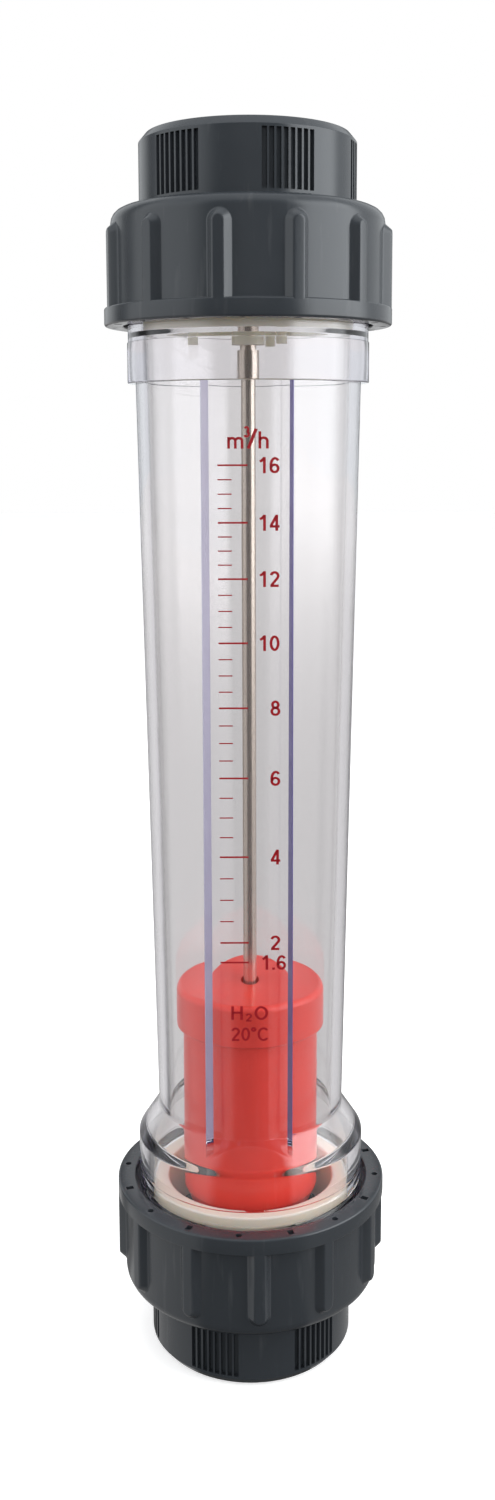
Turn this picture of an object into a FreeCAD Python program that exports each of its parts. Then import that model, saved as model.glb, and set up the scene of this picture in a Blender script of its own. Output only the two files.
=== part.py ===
import FreeCAD, Part
import math
import os

# Variable-area flow meter for 63 mm plastic pipe. A clear tapered tube stands between two
# union connectors. A weighted float climbs a steel guide rod inside it, and the level of the
# float's rim is read on a flat scale panel moulded on the front (-Y).
# Millimetres, +Z up the flow, origin at the centre of the lower connector's end face.

# ---- clearances -----------------------------------------------------------------------
RUNNING = 0.10              # bush on the guide rod, radial
PRESSED = 0.05              # pieces pressed or screwed together, radial
LOOSE = 0.30                # parts that only locate each other
SEAL_GAP = 0.30             # connector face to the tube's end, held open by the O-ring
SINK = 1.0                  # how far a fused feature reaches into what carries it

# ---- spiders that carry the guide rod ---------------------------------------------------
SPIDER_RADIUS = 38.0
SPIDER_RING_WALL = 6.0
SPIDER_RING_HEIGHT = 21.4
SPIDER_END_FLOAT = 0.8      # upper spider to the tube's top end
SPIDER_EDGE_ROUNDING = 0.8
ARM_COUNT = 3
ARM_WIDTH = 7.0
ARM_HEIGHT = 5.0
HUB_WALL = 3.0
HUB_HEIGHT = 5.4            # above the ring's lower face
HUB_DROP = 5.4              # hub and pegs below the ring's lower face
PEG_CIRCLE_RADIUS = 20.0
PEG_RADIUS = 1.9
UPPER_ARM_TURN_DEG = 35.0
LOWER_ARM_TURN_DEG = 75.0

# ---- guide rod and its fasteners ---------------------------------------------------------
ROD_RADIUS = 4.0
ROD_SHOULDER = 1.0          # step down to the threaded spigot at each end
ROD_END_CHAMFER = 0.8
ROD_HEAD_GAP = 1.4          # rod shoulder below the upper hub
ROD_OVERHANG = 2.0          # upper spigot past its nut
WASHER_RIM = 3.0
WASHER_THICKNESS = 1.6
LOCK_WASHER_RIM = 2.6
LOCK_WASHER_THICKNESS = 1.6
LOCK_WASHER_SLIT = 1.2
ROD_NUT_FLATS = 10.0
UPPER_ROD_NUT_HEIGHT = 5.0
LOWER_ROD_NUT_HEIGHT = 3.2  # a thin nut, clear of the pipe socket

# ---- flow tube ------------------------------------------------------------------------
TUBE_LENGTH = 365.0
THREAD_WALL = 4.7           # spider seat to the plain envelope of the male thread
THREAD_LENGTH = 25.4
TUBE_END_CHAMFER = 0.8
LOWER_COLLAR_STEP = 0.5     # collars stand this far outside the threads
LOWER_COLLAR_HEIGHT = 12.8
UPPER_COLLAR_STEP = 0.9
UPPER_COLLAR_HEIGHT = 14.5
SHOULDER_HEIGHT = 11.7      # cone between the lower collar and the tapered body
SHOULDER_FILLET = 2.0
TAPER_RADIUS_LOW = 35.6
TAPER_RADIUS_HIGH = 41.0
TUBE_WALL = 4.0
BORE_SEAT_STEP = 1.6        # height of the cone from the bore up to the upper spider's seat

# ---- scale panel on the front of the tube ----------------------------------------------
PANEL_WIDTH = 31.4
PANEL_UNDERCUT = 1.9        # each side leans in by this much, face to root
PANEL_PROUD_LOW = 1.0       # the flat face in front of the taper at its foot
PANEL_PROUD_HIGH = 0.15     # and under the upper collar
PANEL_DEPTH = 6.5           # face to root inside the wall

# ---- union connector and nut -----------------------------------------------------------
PIPE_SOCKET_RADIUS = 31.6
PIPE_SOCKET_DEPTH = 38.0
PIPE_SOCKET_WALL = 7.4
PIPE_STOP_STEP = 6.6        # the bore past the socket's stop is this much smaller
SOCKET_LEAD_IN = 1.5
CONNECTOR_LENGTH = 46.7
FLANGE_THICKNESS = 12.0
FLANGE_BEVEL = 0.8
NECK_CHAMFER_WIDTH = 2.5
NECK_CHAMFER_HEIGHT = 3.0
GRIP_PATCH_COUNT = 6
GRIP_GROOVE_COUNT = 8       # grooves in each patch
GRIP_PITCH_DEG = 3.65
GRIP_GROOVE_WIDTH = 1.55
GRIP_GROOVE_DEPTH = 0.9
GRIP_END_MARGIN = 1.0       # plain stretch under the neck's chamfer
GRIP_FOOT_MARGIN = 2.0      # plain stretch beside the nut
UPPER_GRIP_TURN_DEG = 21.0
LOWER_GRIP_TURN_DEG = 39.0
NUT_HEIGHT = 40.8
NUT_WALL = 6.0              # thread to the body between the ribs
NUT_END_WALL = 8.5
NUT_END_FILLET = 5.0
NUT_MOUTH_STEP = 2.0        # the mouth is this much wider than the thread
NUT_MOUTH_DEPTH = 2.4
LIP_HEIGHT = 6.4
LIP_BEVEL = 0.8
RIB_COUNT = 12
RIB_PROUD = 2.7             # ribs and lip stand this far out of the nut's body
RIB_TOP_WIDTH = 3.3
RIB_BASE_WIDTH = 8.7
RIB_END_SETBACK = 5.3
UPPER_RIB_TURN_DEG = -11.0
LOWER_RIB_TURN_DEG = 3.5
MARK_PAIR_COUNT = 8         # a dimple and a slot each, round the lip's face
MARK_TURN_DEG = 8.6         # from a rib to a dimple, as moulded
MARK_DEPTH = 0.8
MARK_DIMPLE_RADIUS = 0.8
MARK_SLOT_LENGTH = 3.2
MARK_SLOT_WIDTH = 1.0
O_RING_SECTION = 2.6
O_RING_INSET = 0.6          # groove's inner wall outside the spider's seat
O_RING_SLACK = 0.1          # free height left beside the O-ring in its groove

# ---- float --------------------------------------------------------------------------------
FLOAT_LENGTH = 92.8
FLOAT_HEAD_PROUD = 2.5      # the head's rim outside the body
FLOAT_HEAD_HEIGHT = 16.0
FLOAT_HEAD_PLATE = 5.0
FLOAT_HEAD_ROUNDING = 2.2
FLOAT_EDGE_BEVEL = 0.8
FLOAT_BODY_RADIUS = 25.9
FLOAT_BODY_WALL = 2.6
FLOAT_BODY_FLOOR = 4.0
FLOAT_TAPER_HEIGHT = 12.0
FLOAT_TAPER_INSET = 5.1
FLOAT_NECK_STEP = 1.6       # the body's neck inside the head's skirt
FLOAT_SLEEVE_WALL = 3.1
BUSH_WALL = 1.5
BUSH_LENGTH = 12.0
UPPER_BUSH_DEPTH = 6.0      # below the float's top
LOWER_BUSH_DEPTH = 1.0      # above the float's foot
BALLAST_HEIGHT = 30.0
BALLAST_CHAMFER = 1.0

# ---- sizes and places that follow --------------------------------------------------------
SPIGOT_RADIUS = ROD_RADIUS - ROD_SHOULDER
SPIGOT_HOLE_RADIUS = SPIGOT_RADIUS + PRESSED
SPIDER_SEAT_RADIUS = SPIDER_RADIUS + LOOSE
THREAD_RADIUS = SPIDER_SEAT_RADIUS + THREAD_WALL
LOWER_COLLAR_RADIUS = THREAD_RADIUS + LOWER_COLLAR_STEP
UPPER_COLLAR_RADIUS = THREAD_RADIUS + UPPER_COLLAR_STEP
NECK_RADIUS = PIPE_SOCKET_RADIUS + PIPE_SOCKET_WALL
CONNECTOR_BORE_RADIUS = PIPE_SOCKET_RADIUS - PIPE_STOP_STEP
O_RING_RADIUS = SPIDER_SEAT_RADIUS + O_RING_INSET + O_RING_SLACK + O_RING_SECTION / 2
NUT_BORE_RADIUS = THREAD_RADIUS + LOOSE
NUT_MOUTH_RADIUS = NUT_BORE_RADIUS + NUT_MOUTH_STEP
NUT_BODY_RADIUS = NUT_BORE_RADIUS + NUT_WALL
LIP_RADIUS = NUT_BODY_RADIUS + RIB_PROUD
NUT_REACH = NUT_HEIGHT - NUT_END_WALL - LOOSE - FLANGE_THICKNESS - SEAL_GAP
FLOAT_HOLE_RADIUS = ROD_RADIUS + BUSH_WALL
FLOAT_HEAD_RADIUS = FLOAT_BODY_RADIUS + FLOAT_HEAD_PROUD
TUBE_FOOT = CONNECTOR_LENGTH + SEAL_GAP
TUBE_TOP = TUBE_FOOT + TUBE_LENGTH
OVERALL_HEIGHT = TUBE_TOP + SEAL_GAP + CONNECTOR_LENGTH
COLLAR_TOP = TUBE_FOOT + THREAD_LENGTH + LOWER_COLLAR_HEIGHT
TAPER_FOOT = COLLAR_TOP + SHOULDER_HEIGHT
TAPER_HEAD = TUBE_TOP - THREAD_LENGTH - UPPER_COLLAR_HEIGHT
LOWER_SPIDER_Z = TUBE_FOOT
UPPER_SPIDER_Z = TUBE_TOP - SPIDER_END_FLOAT - SPIDER_RING_HEIGHT
ROD_FOOT = LOWER_SPIDER_Z + HUB_HEIGHT
ROD_HEAD = UPPER_SPIDER_Z - HUB_DROP - ROD_HEAD_GAP
FLOAT_FOOT = ROD_FOOT + LOOSE
FLOAT_TOP = FLOAT_FOOT + FLOAT_LENGTH
AXIS = FreeCAD.Vector(0, 0, 1)
ORIGIN = FreeCAD.Vector(0, 0, 0)


def rounded_wire(corners):
    """A closed wire in the XZ plane through (radius, z, rounding) corners."""
    count = len(corners)
    edges = []
    ends = []
    for i in range(count):
        here = FreeCAD.Vector(corners[i][0], 0, corners[i][1])
        before = FreeCAD.Vector(corners[i - 1][0], 0, corners[i - 1][1])
        after = FreeCAD.Vector(corners[(i + 1) % count][0], 0, corners[(i + 1) % count][1])
        rounding = corners[i][2] if len(corners[i]) > 2 else 0
        if rounding == 0:
            ends.append((here, here))
            continue
        back = (before - here).normalize()
        on = (after - here).normalize()
        half = back.getAngle(on) / 2
        reach = rounding / math.tan(half)
        middle = (back + on).normalize()
        start = here + back * reach
        stop = here + on * reach
        bulge = here + middle * (rounding / math.sin(half) - rounding)
        edges.append(Part.Arc(start, bulge, stop).toShape())
        ends.append((start, stop))
    for i in range(count):
        start = ends[i][1]
        stop = ends[(i + 1) % count][0]
        edges.append(Part.LineSegment(start, stop).toShape())
    return Part.Wire(Part.__sortEdges__(edges))


def turned(corners):
    """A solid of revolution about Z from (radius, z, rounding) corners."""
    return Part.Face(rounded_wire(corners)).revolve(ORIGIN, AXIS, 360)


def placed(shape, z=0.0, turn_deg=0.0, flipped=False):
    """A copy lifted to z, turned about Z, and first turned upside down where asked."""
    copy = shape.copy()
    if flipped:
        copy.rotate(ORIGIN, FreeCAD.Vector(1, 0, 0), 180)
    copy.rotate(ORIGIN, AXIS, turn_deg)
    copy.translate(FreeCAD.Vector(0, 0, z))
    return copy


def around(shape, count, first_deg=0.0, step_deg=None):
    """Copies of a shape turned about Z, as one compound."""
    step = 360.0 / count if step_deg is None else step_deg
    return Part.makeCompound([placed(shape, turn_deg=first_deg + i * step) for i in range(count)])


def block(width, depth, height, x, z, y=0.0):
    """A box with its low X face at x, centred on y, standing on z."""
    return Part.makeBox(width, depth, height, FreeCAD.Vector(x, y - depth / 2, z))


def tube_radius(z):
    """Outer radius of the tapered stretch."""
    share = (z - TAPER_FOOT) / (TAPER_HEAD - TAPER_FOOT)
    return TAPER_RADIUS_LOW + (TAPER_RADIUS_HIGH - TAPER_RADIUS_LOW) * share


def shoulder_offset():
    """How far the shoulder's inner cone lies below its outer one, for an even wall."""
    run = LOWER_COLLAR_RADIUS - TAPER_RADIUS_LOW
    slope = math.hypot(run, SHOULDER_HEIGHT)
    drop = TUBE_WALL * run / slope
    inward = TUBE_WALL * SHOULDER_HEIGHT / slope
    return drop, inward, SHOULDER_HEIGHT / run


def tube_bore():
    """The space inside the tube: two spider seats and the tapered measuring bore."""
    drop, inward, steepness = shoulder_offset()
    seat = SPIDER_SEAT_RADIUS
    low_bore = tube_radius(TAPER_FOOT) - TUBE_WALL
    step_foot = UPPER_SPIDER_Z - BORE_SEAT_STEP
    high_bore = tube_radius(step_foot) - TUBE_WALL
    flare_low = COLLAR_TOP - drop + (LOWER_COLLAR_RADIUS - inward - seat) * steepness
    flare_high = TAPER_FOOT - drop + (TAPER_RADIUS_LOW - inward - low_bore) * steepness
    return turned([
        (0, TUBE_FOOT - SINK), (seat, TUBE_FOOT - SINK),
        (seat, flare_low, SHOULDER_FILLET), (low_bore, flare_high, SHOULDER_FILLET),
        (high_bore, step_foot), (seat, UPPER_SPIDER_Z),
        (seat, TUBE_TOP + SINK), (0, TUBE_TOP + SINK)])


def tube_outside():
    """The tube's outer form: threads' envelopes, collars, shoulder cone and taper."""
    thread = THREAD_RADIUS
    chamfer = TUBE_END_CHAMFER
    lower_thread_top = TUBE_FOOT + THREAD_LENGTH
    upper_thread_foot = TUBE_TOP - THREAD_LENGTH
    return turned([
        (0, TUBE_FOOT), (thread - chamfer, TUBE_FOOT), (thread, TUBE_FOOT + chamfer),
        (thread, lower_thread_top), (LOWER_COLLAR_RADIUS, lower_thread_top),
        (LOWER_COLLAR_RADIUS, COLLAR_TOP, SHOULDER_FILLET),
        (TAPER_RADIUS_LOW, TAPER_FOOT, SHOULDER_FILLET),
        (TAPER_RADIUS_HIGH, TAPER_HEAD), (UPPER_COLLAR_RADIUS, TAPER_HEAD),
        (UPPER_COLLAR_RADIUS, upper_thread_foot), (thread, upper_thread_foot),
        (thread, TUBE_TOP - chamfer), (thread - chamfer, TUBE_TOP), (0, TUBE_TOP)])


def panel_section(z, face):
    """The scale panel's section at one height: a dovetail, wider at its face."""
    half = PANEL_WIDTH / 2
    root = half - PANEL_UNDERCUT
    back = face - PANEL_DEPTH
    points = [(-half, -face), (half, -face), (root, -back), (-root, -back), (-half, -face)]
    return Part.makePolygon([FreeCAD.Vector(x, y, z) for x, y in points])


def scale_panel():
    """The flat strip on the front that carries the scale, leaning with the taper."""
    foot = COLLAR_TOP + SINK
    head = TAPER_HEAD + SINK
    face_low = TAPER_RADIUS_LOW + PANEL_PROUD_LOW
    face_high = TAPER_RADIUS_HIGH + PANEL_PROUD_HIGH
    lean = (face_high - face_low) / (TAPER_HEAD - TAPER_FOOT)
    sections = [panel_section(foot, face_low + lean * (foot - TAPER_FOOT)),
                panel_section(head, face_low + lean * (head - TAPER_FOOT))]
    return Part.makeLoft(sections, True, True)


def flow_tube():
    """Clear moulded tube: one solid with its scale panel and both thread envelopes."""
    return tube_outside().fuse(scale_panel()).cut(tube_bore()).removeSplitter()


def connector(grip_turn_deg):
    """Union tail with its face at z = 0: flange, knurled neck, pipe socket, O-ring groove."""
    length = CONNECTOR_LENGTH
    neck = NECK_RADIUS
    socket = PIPE_SOCKET_RADIUS
    stop = length - PIPE_SOCKET_DEPTH
    solid = turned([
        (CONNECTOR_BORE_RADIUS, 0), (THREAD_RADIUS, 0, FLANGE_BEVEL),
        (THREAD_RADIUS, FLANGE_THICKNESS),
        (neck, FLANGE_THICKNESS), (neck, length - NECK_CHAMFER_HEIGHT),
        (neck - NECK_CHAMFER_WIDTH, length), (socket + SOCKET_LEAD_IN, length),
        (socket, length - SOCKET_LEAD_IN), (socket, stop), (CONNECTOR_BORE_RADIUS, stop)])
    depth = O_RING_SECTION - SEAL_GAP + O_RING_SLACK
    outer = O_RING_RADIUS + O_RING_SECTION / 2 + O_RING_SLACK
    inner = O_RING_RADIUS - O_RING_SECTION / 2 - O_RING_SLACK
    groove = turned([(inner, -SINK), (outer, -SINK), (outer, depth), (inner, depth)])
    return solid.cut(groove).cut(grip_grooves(grip_turn_deg))


def grip_grooves(turn_deg):
    """Patches of narrow lengthwise grooves round the connector's exposed neck."""
    foot = FLANGE_THICKNESS + LOOSE + NUT_END_WALL + GRIP_FOOT_MARGIN
    head = CONNECTOR_LENGTH - NECK_CHAMFER_HEIGHT - GRIP_END_MARGIN
    one = block(GRIP_GROOVE_DEPTH + SINK, GRIP_GROOVE_WIDTH, head - foot,
                NECK_RADIUS - GRIP_GROOVE_DEPTH, foot)
    first = -GRIP_PITCH_DEG * (GRIP_GROOVE_COUNT - 1) / 2
    patch = around(one, GRIP_GROOVE_COUNT, first, GRIP_PITCH_DEG)
    return around(patch, GRIP_PATCH_COUNT, turn_deg - 90)


def rib():
    """One grip rib's block with sloping flanks, pointing along +X."""
    root = NUT_BODY_RADIUS - SINK
    slope = (RIB_BASE_WIDTH - RIB_TOP_WIDTH) / 2 / RIB_PROUD
    tip_half = RIB_TOP_WIDTH / 2
    root_half = RIB_BASE_WIDTH / 2 + slope * SINK
    tip = LIP_RADIUS
    corners = [(root, -root_half), (tip, -tip_half), (tip + SINK, -tip_half),
               (tip + SINK, tip_half), (tip, tip_half), (root, root_half), (root, -root_half)]
    outline = Part.makePolygon([FreeCAD.Vector(x, y, 0) for x, y in corners])
    return Part.Face(outline).extrude(AXIS * NUT_HEIGHT)


def nut_ribs(turn_deg):
    """The ribs, cut back to the lip's radius and rounded off before the closed end."""
    head = NUT_HEIGHT - RIB_END_SETBACK
    root = NUT_BODY_RADIUS - SINK
    envelope = turned([(root, LIP_HEIGHT - SINK), (LIP_RADIUS, LIP_HEIGHT - SINK),
                       (LIP_RADIUS, head, RIB_PROUD), (root, head)])
    return around(rib(), RIB_COUNT, turn_deg).common(envelope)


def nut_marks(turn_deg):
    """Dimples and short radial slots, by turns, sunk into the lip's face."""
    middle = (NUT_MOUTH_RADIUS + LIP_RADIUS) / 2
    half_step = 180.0 / MARK_PAIR_COUNT
    dimple = Part.makeCylinder(MARK_DIMPLE_RADIUS, MARK_DEPTH + SINK,
                               FreeCAD.Vector(middle, 0, -SINK))
    slot = block(MARK_SLOT_LENGTH, MARK_SLOT_WIDTH, MARK_DEPTH + SINK,
                 middle - MARK_SLOT_LENGTH / 2, -SINK)
    return Part.makeCompound([around(dimple, MARK_PAIR_COUNT, turn_deg),
                              around(slot, MARK_PAIR_COUNT, turn_deg + half_step)])


def union_nut(rib_turn_deg):
    """Ribbed union nut with its mouth at z = 0 and its closed end above."""
    height = NUT_HEIGHT
    hole = NECK_RADIUS + LOOSE
    ledge = height - NUT_END_WALL
    body = turned([
        (NUT_MOUTH_RADIUS, 0), (LIP_RADIUS, 0, LIP_BEVEL), (LIP_RADIUS, LIP_HEIGHT, LIP_BEVEL),
        (NUT_BODY_RADIUS, LIP_HEIGHT), (NUT_BODY_RADIUS, height, NUT_END_FILLET),
        (hole, height), (hole, ledge), (NUT_BORE_RADIUS, ledge),
        (NUT_BORE_RADIUS, NUT_MOUTH_DEPTH + NUT_MOUTH_STEP), (NUT_MOUTH_RADIUS, NUT_MOUTH_DEPTH)])
    return body.fuse(nut_ribs(rib_turn_deg - 90)).cut(
        nut_marks(rib_turn_deg + MARK_TURN_DEG - 90))


def o_ring():
    """Sealing ring in the connector's face groove, centred in the free height."""
    height = O_RING_SECTION / 2 - SEAL_GAP + O_RING_SLACK / 2
    return Part.makeTorus(O_RING_RADIUS, O_RING_SECTION / 2, FreeCAD.Vector(0, 0, height), AXIS)


def spider(arm_turn_deg):
    """Ring, three arms, hub and pegs in one moulding, with the ring's lower face at z = 0."""
    inner = SPIDER_RADIUS - SPIDER_RING_WALL
    drop = HUB_DROP
    rounding = SPIDER_EDGE_ROUNDING
    ring = turned([(inner, 0), (SPIDER_RADIUS, 0, rounding),
                   (SPIDER_RADIUS, SPIDER_RING_HEIGHT, rounding),
                   (inner, SPIDER_RING_HEIGHT, rounding)])
    hub = Part.makeCylinder(SPIGOT_RADIUS + HUB_WALL, HUB_HEIGHT + drop,
                            FreeCAD.Vector(0, 0, -drop))
    arm = block(inner + SINK, ARM_WIDTH, ARM_HEIGHT, 0, 0)
    peg = Part.makeCylinder(PEG_RADIUS, drop + SINK, FreeCAD.Vector(PEG_CIRCLE_RADIUS, 0, -drop))
    turn = arm_turn_deg - 90
    arms = [placed(arm, turn_deg=turn + i * 360.0 / ARM_COUNT) for i in range(ARM_COUNT)]
    pegs = [placed(peg, turn_deg=turn + i * 360.0 / ARM_COUNT) for i in range(ARM_COUNT)]
    solid = ring.multiFuse([hub] + arms + pegs)
    bore = Part.makeCylinder(SPIGOT_HOLE_RADIUS, HUB_HEIGHT + drop + 2 * SINK,
                             FreeCAD.Vector(0, 0, -drop - SINK))
    return solid.cut(bore).removeSplitter()


def upper_stack_height():
    """Plain washer, lock washer and nut together."""
    return WASHER_THICKNESS + LOCK_WASHER_THICKNESS + UPPER_ROD_NUT_HEIGHT


def guide_rod():
    """Polished rod with a threaded spigot turned down at each end."""
    foot = LOWER_SPIDER_Z - HUB_DROP - LOWER_ROD_NUT_HEIGHT
    head = UPPER_SPIDER_Z + HUB_HEIGHT + upper_stack_height() + ROD_OVERHANG
    spigot = SPIGOT_RADIUS
    chamfer = ROD_END_CHAMFER
    return turned([
        (0, foot), (spigot - chamfer, foot), (spigot, foot + chamfer), (spigot, ROD_FOOT),
        (ROD_RADIUS, ROD_FOOT), (ROD_RADIUS, ROD_HEAD), (spigot, ROD_HEAD),
        (spigot, head - chamfer), (spigot - chamfer, head), (0, head)])


def washer():
    """Plain washer standing on z = 0."""
    hole = SPIGOT_HOLE_RADIUS
    rim = SPIGOT_RADIUS + WASHER_RIM
    return turned([(hole, 0), (rim, 0), (rim, WASHER_THICKNESS), (hole, WASHER_THICKNESS)])


def lock_washer():
    """Split spring washer standing on z = 0."""
    hole = SPIGOT_HOLE_RADIUS
    rim = SPIGOT_RADIUS + LOCK_WASHER_RIM
    ring = turned([(hole, 0), (rim, 0), (rim, LOCK_WASHER_THICKNESS),
                   (hole, LOCK_WASHER_THICKNESS)])
    slit = block(rim + SINK, LOCK_WASHER_SLIT, LOCK_WASHER_THICKNESS + 2 * SINK, 0, -SINK)
    return ring.cut(slit)


def rod_nut(height):
    """Hexagon nut standing on z = 0, its outer corners chamfered."""
    corner = ROD_NUT_FLATS / math.sqrt(3)
    outline = Part.makePolygon([FreeCAD.Vector(corner * math.cos(math.radians(angle)),
                                               corner * math.sin(math.radians(angle)), 0)
                                for angle in range(0, 361, 60)])
    prism = Part.Face(outline).extrude(AXIS * height)
    flat = ROD_NUT_FLATS / 2
    bevel = corner - flat
    crown = turned([(0, 0), (flat, 0), (corner, bevel), (corner, height - bevel),
                    (flat, height), (0, height)])
    bore = Part.makeCylinder(SPIGOT_HOLE_RADIUS, height + 2 * SINK,
                             FreeCAD.Vector(0, 0, -SINK))
    return prism.common(crown).cut(bore)


def float_head():
    """Cap of the float: top plate with the rod hole, and a skirt over the body's neck."""
    foot = FLOAT_TOP - FLOAT_HEAD_HEIGHT
    skirt = FLOAT_BODY_RADIUS - FLOAT_NECK_STEP + PRESSED
    plate = FLOAT_TOP - FLOAT_HEAD_PLATE
    return turned([
        (skirt, foot), (FLOAT_HEAD_RADIUS, foot, FLOAT_EDGE_BEVEL),
        (FLOAT_HEAD_RADIUS, FLOAT_TOP, FLOAT_HEAD_ROUNDING), (FLOAT_HOLE_RADIUS, FLOAT_TOP),
        (FLOAT_HOLE_RADIUS, plate), (skirt, plate)])


def float_body():
    """Hollow body of the float with a central sleeve for the rod and a tapered foot."""
    foot = FLOAT_FOOT
    neck_foot = FLOAT_TOP - FLOAT_HEAD_HEIGHT
    neck = FLOAT_BODY_RADIUS - FLOAT_NECK_STEP
    top = FLOAT_TOP - FLOAT_HEAD_PLATE
    taper_top = foot + FLOAT_TAPER_HEIGHT
    inside = FLOAT_BODY_RADIUS - FLOAT_BODY_WALL
    floor = taper_top + FLOAT_BODY_FLOOR
    tip = FLOAT_BODY_RADIUS - FLOAT_TAPER_INSET
    sleeve = FLOAT_HOLE_RADIUS + FLOAT_SLEEVE_WALL
    return turned([
        (FLOAT_HOLE_RADIUS, foot), (tip, foot, FLOAT_EDGE_BEVEL),
        (FLOAT_BODY_RADIUS, taper_top, FLOAT_EDGE_BEVEL), (FLOAT_BODY_RADIUS, neck_foot),
        (neck, neck_foot), (neck, top), (inside, top), (inside, floor),
        (sleeve, floor), (sleeve, top), (FLOAT_HOLE_RADIUS, top)])


def float_ballast():
    """Steel ring that weights the float, standing on the body's floor."""
    foot = FLOAT_FOOT + FLOAT_TAPER_HEIGHT + FLOAT_BODY_FLOOR
    top = foot + BALLAST_HEIGHT
    inner = FLOAT_HOLE_RADIUS + FLOAT_SLEEVE_WALL + LOOSE
    outer = FLOAT_BODY_RADIUS - FLOAT_BODY_WALL - LOOSE
    chamfer = BALLAST_CHAMFER
    return turned([(inner, foot), (outer, foot), (outer, top - chamfer),
                   (outer - chamfer, top), (inner, top)])


def bush():
    """Plain sleeve pressed into the float's hole, running on the guide rod."""
    bore = ROD_RADIUS + RUNNING
    outer = FLOAT_HOLE_RADIUS - PRESSED
    return turned([(bore, 0), (outer, 0), (outer, BUSH_LENGTH), (bore, BUSH_LENGTH)])


def rod_fasteners():
    """What holds the rod's ends outside the two hubs, keyed by node name."""
    washer_z = UPPER_SPIDER_Z + HUB_HEIGHT
    lock_washer_z = washer_z + WASHER_THICKNESS
    nut_z = lock_washer_z + LOCK_WASHER_THICKNESS
    lower_nut_z = LOWER_SPIDER_Z - HUB_DROP - LOWER_ROD_NUT_HEIGHT
    return {
        "upper_rod_washer": placed(washer(), washer_z),
        "upper_lock_washer": placed(lock_washer(), lock_washer_z),
        "upper_rod_nut": placed(rod_nut(UPPER_ROD_NUT_HEIGHT), nut_z),
        "lower_rod_nut": placed(rod_nut(LOWER_ROD_NUT_HEIGHT), lower_nut_z),
    }


def unions():
    """Connector, O-ring and union nut of each end, keyed by node name."""
    nodes = {}
    ends = {"upper": (TUBE_TOP, 1, UPPER_GRIP_TURN_DEG, UPPER_RIB_TURN_DEG),
            "lower": (TUBE_FOOT, -1, LOWER_GRIP_TURN_DEG, LOWER_RIB_TURN_DEG)}
    for end, (tube_end, away, grip_turn, rib_turn) in ends.items():
        flipped = away < 0
        face = tube_end + away * SEAL_GAP
        mouth = tube_end - away * NUT_REACH
        # A flipped piece turns about X first, which reverses the sense of its own turns.
        sense = -1 if flipped else 1
        half_turn = 180 if flipped else 0
        nodes[end + "_connector"] = placed(connector(sense * grip_turn + half_turn), face,
                                           flipped=flipped)
        nodes[end + "_o_ring"] = placed(o_ring(), face, flipped=flipped)
        nodes[end + "_union_nut"] = placed(union_nut(sense * rib_turn + half_turn), mouth,
                                           flipped=flipped)
    return nodes


def build():
    """Every sub-part of the meter in its place, keyed by node name."""
    nodes = {
        "flow_tube": flow_tube(),
        "upper_spider": placed(spider(UPPER_ARM_TURN_DEG), UPPER_SPIDER_Z),
        "lower_spider": placed(spider(LOWER_ARM_TURN_DEG), LOWER_SPIDER_Z),
        "guide_rod": guide_rod(),
        "float_head": float_head(),
        "float_body": float_body(),
        "float_ballast": float_ballast(),
        "float_upper_bush": placed(bush(), FLOAT_TOP - UPPER_BUSH_DEPTH - BUSH_LENGTH),
        "float_lower_bush": placed(bush(), FLOAT_FOOT + LOWER_BUSH_DEPTH),
    }
    nodes.update(rod_fasteners())
    nodes.update(unions())
    return nodes


os.makedirs("parts", exist_ok=True)
for name, shape in build().items():
    if not shape.isValid() or len(shape.Solids) != 1:
        raise ValueError(name + " is not one valid solid")
    shape.Solids[0].exportStep("parts/" + name + ".step")
print("height", round(OVERALL_HEIGHT, 2), "float travel",
      round(UPPER_SPIDER_Z - HUB_DROP - FLOAT_TOP - LOOSE, 2))
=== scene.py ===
import math

import bmesh
import bpy
import numpy as np
from mathutils import Matrix, Vector


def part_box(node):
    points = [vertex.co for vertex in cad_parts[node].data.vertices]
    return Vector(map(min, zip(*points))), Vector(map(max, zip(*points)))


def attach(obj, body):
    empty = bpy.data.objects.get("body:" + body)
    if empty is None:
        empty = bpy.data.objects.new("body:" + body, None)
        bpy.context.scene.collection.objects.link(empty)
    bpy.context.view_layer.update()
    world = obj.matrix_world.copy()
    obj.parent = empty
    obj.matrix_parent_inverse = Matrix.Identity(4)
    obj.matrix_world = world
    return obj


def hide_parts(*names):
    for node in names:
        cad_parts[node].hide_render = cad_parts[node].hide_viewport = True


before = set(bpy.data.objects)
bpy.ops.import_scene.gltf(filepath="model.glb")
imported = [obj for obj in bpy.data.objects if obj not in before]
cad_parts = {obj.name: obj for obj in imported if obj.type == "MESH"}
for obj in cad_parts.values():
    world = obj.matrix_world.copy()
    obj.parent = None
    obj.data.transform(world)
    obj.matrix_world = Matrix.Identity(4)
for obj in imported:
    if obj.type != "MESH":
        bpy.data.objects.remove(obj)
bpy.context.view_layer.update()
scene = bpy.context.scene
MM = 0.001

# ==== Camera ===============================================================================
# Eye level with the top of the tube, half a metre in front of the scale, looking slightly
# down. The lens, its upward shift and the small roll set the framing.
CAMERA_DISTANCE = 0.5405
CAMERA_HEIGHT = 0.3548
CAMERA_PITCH = math.radians(8.22)
CAMERA_ROLL = math.radians(0.17)

camera_data = bpy.data.cameras.new("camera")
camera_data.lens = 35.0
camera_data.sensor_width = 36.0
camera_data.shift_x = -0.0006
camera_data.shift_y = -0.0718
camera_data.clip_start = 0.01
camera = bpy.data.objects.new("camera", camera_data)
scene.collection.objects.link(camera)
camera.location = (0, -CAMERA_DISTANCE, CAMERA_HEIGHT)
camera.rotation_euler = (math.pi / 2 - CAMERA_PITCH, CAMERA_ROLL, 0)
scene.camera = camera

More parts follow.
